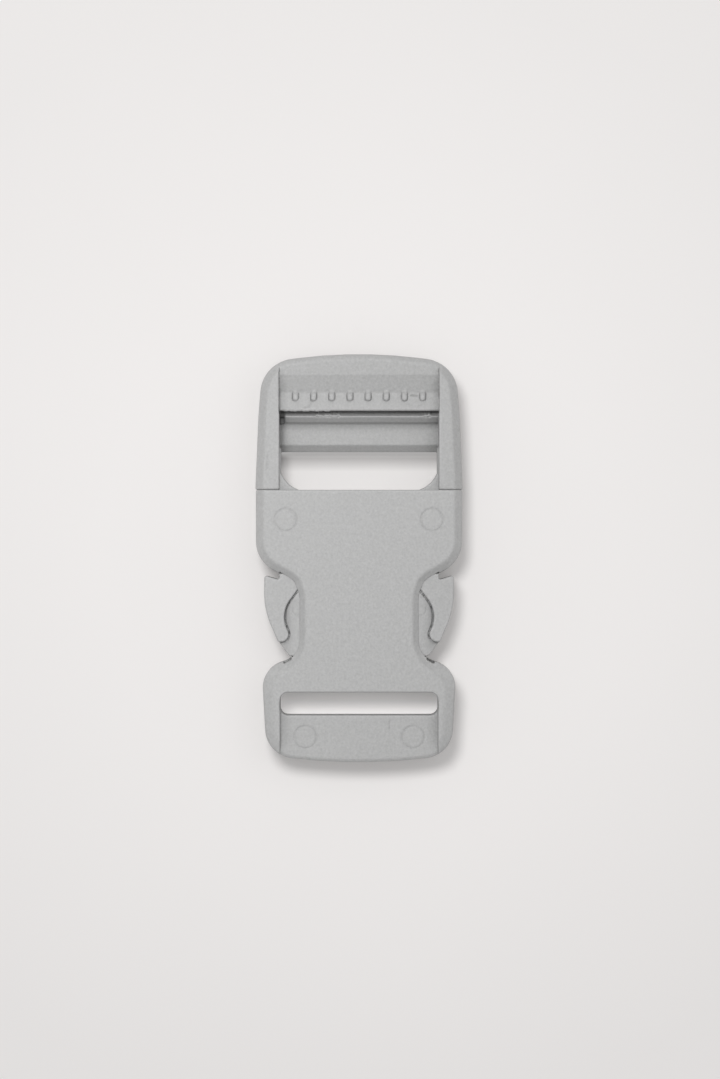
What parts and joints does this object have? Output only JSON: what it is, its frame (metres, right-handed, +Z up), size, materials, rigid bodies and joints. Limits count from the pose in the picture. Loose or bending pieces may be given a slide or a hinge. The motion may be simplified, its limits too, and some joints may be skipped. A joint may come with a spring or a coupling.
{
  "type": "side-release buckle",
  "caption": "Fastened side-release buckle of light grey moulded plastic, with a ribbed webbing adjuster on the plug and a fixed webbing slot on the socket.",
  "frame": {"origin": "centre of the buckle's footprint, on the surface that it lies on with its back down", "axes": "+X across the buckle, +Y along it towards the adjuster end, +Z up out of its front face"},
  "size_m": [0.0342, 0.0672, 0.0094],
  "materials": {
    "moulded_plastic": "fine matt spark-eroded grain, light neutral grey"
  },
  "bodies": {
    "root": {"plug": "moulded_plastic", "socket": "moulded_plastic"}
  },
  "joints": []
}
